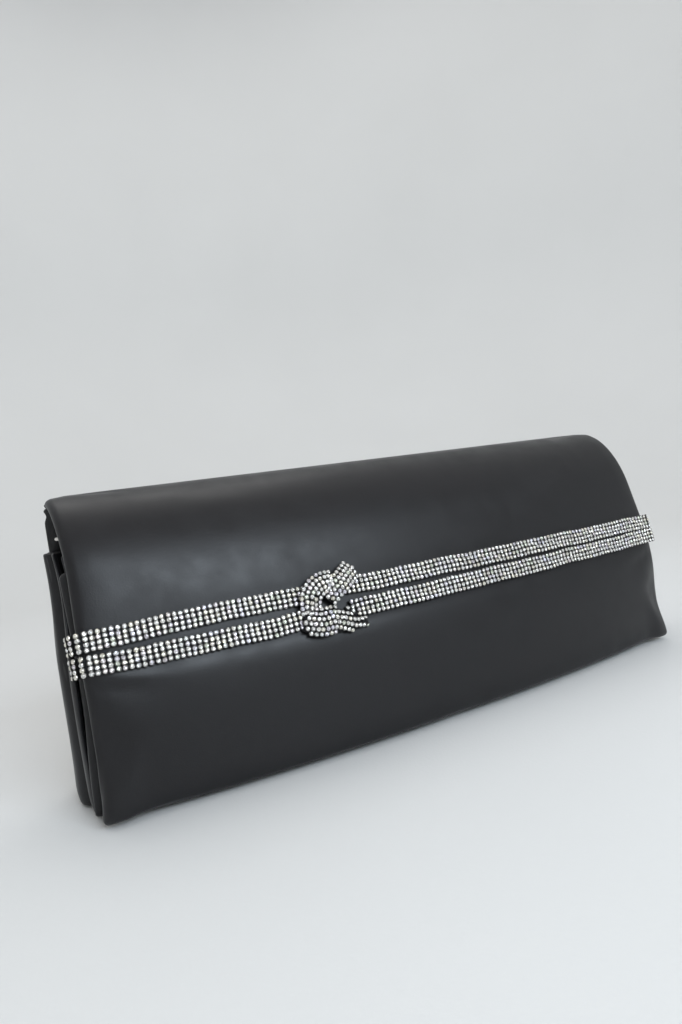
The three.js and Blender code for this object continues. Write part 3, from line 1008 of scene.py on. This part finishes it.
def ring_tab(side, hand):
    """A leather strap folded round the bar of the D-ring and sewn to the end of the bag."""
    points, faces = tab_mesh()
    points[:, 0] *= side
    piece = to_object(f"{hand}_ring_strap", points, faces, LEATHER)
    bevelled(piece, 0.2, 30)
    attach(piece, "shell")
    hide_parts(f"{hand}_ring_tab")

    def row(offset):
        def surface(a, b):
            x = side * (RING_X - TAB_REACH + 2.2 + a)
            return np.stack([x, RING_Y + offset - side * b, np.full_like(a, RING_Z + TAB_THICK / 2 + 0.02)], 1)
        return surface

    stitches(f"{hand}_strap_seam_front", "shell", row(-TAB_WIDTH / 2 + 0.9), TAB_REACH - 4.6)
    stitches(f"{hand}_strap_seam_back", "shell", row(TAB_WIDTH / 2 - 0.9), TAB_REACH - 4.6)


for side, hand in HANDS:
    ring_tab(side, hand)


def finish_node(name, material, bevel=0.0):
    """Gives a CAD node its material, and rounds what Blender shows of it: its edges, or all of it."""
    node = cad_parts[name]
    node.data.materials.clear()
    node.data.materials.append(material)
    node.data.polygons.foreach_set("use_smooth", [True] * len(node.data.polygons))
    node.modifiers.new("weld", "WELD").merge_threshold = 1e-6
    if bevel:
        bevelled(node, bevel, 50)
    else:
        level = node.modifiers.new("round", "SUBSURF")
        level.levels = level.render_levels = 1
    return node


for _, hand in HANDS:
    finish_node(f"{hand}_d_ring", NICKEL)
    for piece_name in ("snap_male", "snap_female", "flap_washer", "wall_washer"):
        finish_node(f"{hand}_{piece_name}", NICKEL, bevel=0.12)
for name in ("base_board", "back_board", "front_board", "flap_board"):
    finish_node(name, BOARD, bevel=0.2)
finish_node("flap_foam", FOAM, bevel=0.2)


# ---- crystal strips and knot --------------------------------------------------------------------
SIDES = 8
BACKING = 0.7  # thickness of the mesh under the stones
CUP_HEIGHT = 0.75
STONE_HEIGHT = 0.5


def stone_shape():
    """One cut stone and its cup: points (along, across, up), faces, and each face's material."""
    angles = np.arange(SIDES) / SIDES * 2 * np.pi
    half_step = np.pi / SIDES

    def circle(radius, up, turn=0.0):
        x, y = radius * np.cos(angles + turn), radius * np.sin(angles + turn)
        return np.stack([x, y, np.full(SIDES, up)], 1)

    stone = [
        circle(0.5 * STONE, CUP_HEIGHT + STONE_HEIGHT, half_step), circle(STONE, CUP_HEIGHT + 0.1),
        circle(0.92 * STONE, CUP_HEIGHT - 0.25),
    ]
    cup = [
        circle(1.04 * STONE, 0.0, half_step), circle(1.14 * STONE, CUP_HEIGHT - 0.12, half_step),
        circle(0.95 * STONE, CUP_HEIGHT + 0.04, half_step), circle(0.85 * STONE, CUP_HEIGHT - 0.2, half_step),
    ]
    faces = [list(range(SIDES))]
    for j in range(SIDES):
        k = (j + 1) % SIDES
        faces += [
            [j, SIDES + j, SIDES + k], [j, SIDES + k, k],
            [SIDES + j, 2 * SIDES + j, 2 * SIDES + k, SIDES + k],
        ]
    faces.append([2 * SIDES + j for j in range(SIDES)])
    of_glass = len(faces)
    for base in range(3 * SIDES, 6 * SIDES, SIDES):
        faces += belt(base, base + SIDES, SIDES)
    faces += [[base + j for j in range(SIDES)] for base in (3 * SIDES, 6 * SIDES)]
    return np.vstack(stone + cup), faces, [0] * of_glass + [1] * (len(faces) - of_glass)


STONE_POINTS, STONE_FACES, STONE_KINDS = stone_shape()
TILT, DRIFT = 3.2, 0.05  # how unevenly the stones are set, in degrees and in millimetres


def studded(name, surface, a, b, backing, node):
    """Crystal mesh: stones at surface(a, b) and the black mesh under them, which rides on the flap.

    surface(a, b, lift) takes arrays and gives places; backing is a closed mesh of (points, faces).
    """
    def floor(a, b):
        return surface(a, b, np.full_like(a, BACKING / 2))

    places, turns = frames_on(floor, a, b)
    count = len(a)
    for i in range(count):
        tilt = [math.radians(random.gauss(0, TILT)) for _ in range(2)]
        spin = Euler((tilt[0], tilt[1], random.uniform(0, 2 * math.pi / SIDES))).to_matrix()
        turns[i] = turns[i] @ np.array(spin)
        places[i] += turns[i] @ np.array([random.gauss(0, DRIFT) for _ in range(3)])
    points = copies(STONE_POINTS, places, turns).reshape(-1, 3)
    size = len(STONE_POINTS)
    faces = [[v + i * size for v in face] for i in range(count) for face in STONE_FACES]
    kinds = STONE_KINDS * count
    back_points, back_faces = backing
    faces += [[v + len(points) for v in face] for face in back_faces]
    kinds += [2] * len(back_faces)
    piece = to_object(name, np.vstack([points, back_points]), faces, [CRYSTAL, CUP, MESH], kinds, soft=False)
    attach(piece, "flap")
    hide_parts(node)


def ribbon_backing(surface, a_values, half_at):
    """The closed sheet of mesh under a ribbon's stones."""
    count = 9  # points across
    rings = []
    for a in a_values:
        a, b = np.full(count, a), np.linspace(-1, 1, count) * half_at(a)
        lift = np.full(count, BACKING / 2)
        rings.append(np.concatenate([surface(a, b, lift), surface(a, b[::-1], -lift)]))
    return loft(rings, np.arange(2 * count)[::-1])


# Half the gap between the two strips, at places along the bag: closing towards both ends and at the knot.
GAPS = [
    (-HALF, 0.5), (-110, 0.9), (-90, 1.3), (-72, 1.3), (-60, 0.6), (-44, 1.2), (-30, 0.85), (0, 0.7),
    (60, 0.45), (HALF, 0.15),
]
TURN_RADIUS = 3.5
TURN_AT = HALF - 0.2
STRIP_DEPTH = -0.45  # the mesh's middle, over the flap's face
POINT_SLOPE = 1.3  # how fast the pointed strip widens from its tip


class Rail:
    """A strip's way along the flap and round its side edge, as x and depth, by the length along it."""

    def __init__(self, start, side):
        turn = arc((0, TURN_RADIUS), TURN_RADIUS, -90, 62, 14)
        x = np.concatenate([[start * side], TURN_AT + turn[:, 0]])
        depth = np.concatenate([[0], turn[:, 1]]) + STRIP_DEPTH
        self.points = np.stack([x * side, depth], 1)
        self.s = lengths_along(self.points)
        self.length = self.s[-1]
        self.side = side

    def at(self, a):
        return [np.interp(a, self.s, self.points[:, i]) for i in (0, 1)]

    def surface(self, upper):
        """surface(a, b, lift) of the upper (1) or lower (-1) strip."""
        def surface(a, b, lift):
            x, depth = self.at(a)
            ahead, behind = self.at(a + 0.3), self.at(a - 0.3)
            way = np.stack([ahead[0] - behind[0], ahead[1] - behind[1]])
            way /= np.linalg.norm(way, axis=0)
            out = self.side * np.stack([way[1], -way[0]])
            middle = S_KNOT - 0.4 + upper * (np.interp(x, *zip(*GAPS)) + STRIP / 2)
            middle = middle + 0.12 * np.sin(x / 9.0 + upper) + 0.1 * np.sin(x / 3.7)
            rise = lift + 0.12 * np.sin(x / 6.1 + b) * (np.abs(x) < HALF - 8)
            return place(np.stack([x + out[0] * rise, depth + out[1] * rise, middle + self.side * b], 1))
        return surface


def strip(node, side, upper, start):
    """Four rows of stones from the knot to the flap's side edge. The lower right strip starts in a point."""
    rail = Rail(start, side)
    surface = rail.surface(upper)
    pointed = side > 0 > upper
    a, b = [], []
    for i in range(int(rail.length / PITCH)):
        for j in range(ROWS):
            along, across = (i + 0.5) * PITCH, (j - (ROWS - 1) / 2) * ROW
            if not pointed or along >= abs(across - 0.9) * POINT_SLOPE:
                a.append(along)
                b.append(across)
    turn_start = rail.length - 14
    edge = np.concatenate([
        np.arange(0, 6, 0.75), np.arange(6, turn_start, 4.0), np.linspace(turn_start, rail.length, 16),
    ])

    def backing_half(a):
        full = STRIP / 2 - 0.15
        return min(full, max(0.3, a / POINT_SLOPE - 0.3)) if pointed else full

    backing = ribbon_backing(surface, edge, backing_half)
    studded(f"{node}_strip", surface, np.array(a), np.array(b), backing, node)


strip("crystal_left_upper", -1, 1, KNOT_X - 7)
strip("crystal_left_lower", -1, -1, KNOT_X - 7)
strip("crystal_right_upper", 1, 1, KNOT_X + 9)
strip("crystal_right_lower", 1, -1, KNOT_X + 6.4)


class Ribbon:
    """A piece of the knot: mesh along a curve, crowned across its width.

    Each stop is (x, v, half width, lift), with v up the slope from the knot's middle.
    """

    def __init__(self, stops, crown):
        stops = np.array(stops, float)
        t = np.linspace(0, len(stops) - 1, 80)
        i = np.clip(t.astype(int), 0, len(stops) - 2)
        f = (t - i)[:, None]
        before, after = stops[np.maximum(i - 1, 0)], stops[np.minimum(i + 2, len(stops) - 1)]
        one, two = stops[i], stops[i + 1]
        self.rows = 0.5 * (
            2 * one + (two - before) * f + (2 * before - 5 * one + 4 * two - after) * f**2
            + (3 * one - before - 3 * two + after) * f**3
        )
        self.s = lengths_along(self.rows[:, :2])
        self.length = self.s[-1]
        self.crown = crown

    def at(self, a):
        return np.stack([np.interp(a, self.s, self.rows[:, i]) for i in range(4)], 1)

    def half(self, a):
        return float(np.interp(a, self.s, self.rows[:, 2]))

    def surface(self, a, b, lift):
        a, b = np.asarray(a, float), np.asarray(b, float)
        here = self.at(a)
        way = (self.at(a + 0.4) - self.at(a - 0.4))[:, :2]
        way /= np.linalg.norm(way, axis=1)[:, None]
        across = np.stack([-way[:, 1], way[:, 0]], 1)
        share = b / here[:, 2]
        spot = here[:, :2] + across * b[:, None]
        up = here[:, 3] + self.crown * (1 - share**2) + lift
        sideways = 0.35 * lift * share * self.crown
        spot = spot + across * sideways[:, None]
        return place(np.stack([spot[:, 0], -up, S_KNOT + spot[:, 1]], 1))


KNOT_ROW, KNOT_CLEAR = 1.6, 1.78  # between rows along a ribbon, and the least from stone to stone
KNOT_START, STAGGER, NUDGE = 0.8, 0.9, 0.1  # where a row begins, how far every other one waits, and the step


def knot_piece(name, stops, crown, node):
    """Stones in rows along a ribbon, each as near to those before it as the least distance lets it be."""
    ribbon = Ribbon(stops, crown)
    a, b, kept = [], [], []
    widest = max(row[2] for row in stops)
    count = int((2 * widest - 2 * STONE) / KNOT_ROW + 1.5)
    for j in range(count):
        across = (j - (count - 1) / 2) * KNOT_ROW
        along = KNOT_START + STAGGER * (j % 2)
        while along < ribbon.length - 0.5:
            here = ribbon.surface([along], [across], np.array([BACKING]))[0]
            fits = abs(across) < ribbon.half(along) - 0.45 * STONE
            if fits and all(np.linalg.norm(here - other) > KNOT_CLEAR for other in kept):
                kept.append(here)
                a.append(along)
                b.append(across)
            along += NUDGE
    rows = np.linspace(0.2, ribbon.length - 0.2, 30)
    backing = ribbon_backing(ribbon.surface, rows, lambda a: ribbon.half(a) - 0.2)
    studded(name, ribbon.surface, np.array(a), np.array(b), backing, node)


LOOP = [
    (-45.5, 6.2, 3.4, 1.6), (-49.5, 6.9, 3.7, 2.2), (-53.6, 6.0, 4.0, 2.3), (-56.8, 3.3, 4.1, 2.0),
    (-58, -0.4, 4.1, 1.6), (-58.1, -4.0, 4.0, 1.0),
]
LOWER = [
    (-62.2, -5.0, 3.6, 0.8), (-59.3, -6.0, 4.4, 1.7), (-55.5, -6.9, 4.9, 2.3), (-51, -6.9, 4.7, 2.1),
    (-46.6, -8.2, 3.8, 1.7), (-42.2, -9.7, 2.7, 1.1), (-36.6, -10.3, 1.1, 0.4),
]
UPPER = [
    (-51.2, 1.0, 3.4, 1.3), (-48, 3.3, 4.0, 2.4), (-43.8, 6.0, 4.3, 2.7), (-39.8, 8.6, 4.2, 2.0),
    (-36.6, 10.4, 3.2, 0.7),
]
knot_piece("knot_loop_mesh", LOOP, 1.1, "knot_loop")
knot_piece("knot_lower_mesh", LOWER, 1.5, "knot_lower_tail")
knot_piece("knot_upper_mesh", UPPER, 1.0, "knot_upper_tail")


# ---- surroundings -------------------------------------------------------------------------------
def bowl():
    """A pale table that curves up into the backdrop all round."""
    flat, curve, rim = 650, 550, 1350  # the table's radius, the curve's, and the rim's height
    profile = np.vstack([
        [(0, 0), (200, 0), (400, 0), (600, 0)], arc((flat, curve), curve, 270, 360, 16), [(flat + curve, rim)],
    ])
    count = 96
    angles = np.arange(count) / count * 2 * np.pi
    points = [(0, 0, 0)]
    for r, z in profile[1:]:
        points += [(r * math.cos(t), r * math.sin(t), z) for t in angles]
    faces = [[0, 1 + j, 1 + (j + 1) % count] for j in range(count)]
    for i in range(len(profile) - 2):
        faces += belt(1 + i * count, 1 + (i + 1) * count, count)
    mesh = bpy.data.meshes.new("table")
    mesh.from_pydata([tuple(np.array(p) * MM) for p in points], [], faces)
    mesh.materials.append(TABLE)
    mesh.polygons.foreach_set("use_smooth", [True] * len(faces))
    linked("table", mesh)


LIT = Vector((0, 0, 0.06))  # the point that the lights look at, in metres


def soft_light(name, azimuth, elevation, distance, size, power, colour):
    """An area light that looks at the bag from an azimuth and elevation in degrees."""
    turn, rise = math.radians(azimuth), math.radians(elevation)
    back = Vector((math.sin(turn) * math.cos(rise), -math.cos(turn) * math.cos(rise), math.sin(rise)))
    light = bpy.data.lights.new(name, "AREA")
    light.shape, light.size, light.size_y = "RECTANGLE", *size
    light.energy, light.color = power, colour
    lamp = linked(name, light)
    lamp.location = back * distance + LIT
    lamp.rotation_mode = "QUATERNION"
    lamp.rotation_quaternion = (-back).to_track_quat("-Z", "Y")
    lamp.visible_camera = False


def camera():
    """The photograph's viewpoint: in front and to the left, a little tilted."""
    heading, pitch, roll = 27.9, -3.0, -7.43
    stand = Vector((-161.2, -250.3, 103.9)) * MM
    data = bpy.data.cameras.new("camera")
    data.sensor_width, data.lens = 36, 23.9
    data.clip_start = 0.01
    eye = linked("camera", data)
    turns = [(-heading, "Z"), (90 + pitch, "X"), (roll, "Z")]
    eye.matrix_world = Matrix.Translation(stand)
    for angle, axis in turns:
        eye.matrix_world = eye.matrix_world @ Matrix.Rotation(math.radians(angle), 4, axis)
    bpy.context.scene.camera = eye


def sky(grey, strength):
    world = bpy.data.worlds.new("soft_room")
    world.use_nodes = True
    world.node_tree.nodes["Background"].inputs["Color"].default_value = (*grey, 1)
    world.node_tree.nodes["Background"].inputs["Strength"].default_value = strength
    bpy.context.scene.world = world


camera()
bowl()
sky((0.98, 0.985, 1.0), 0.8)
soft_light(
    "window", azimuth=8, elevation=31, distance=1.0, size=(0.6, 0.4), power=6.6, colour=(0.8, 0.9, 1.0),
)
soft_light(
    "ceiling", azimuth=175, elevation=70, distance=1.4, size=(1.0, 0.8), power=3.6, colour=(1.0, 1.0, 0.98),
)
bpy.context.scene.view_settings.view_transform = "Standard"
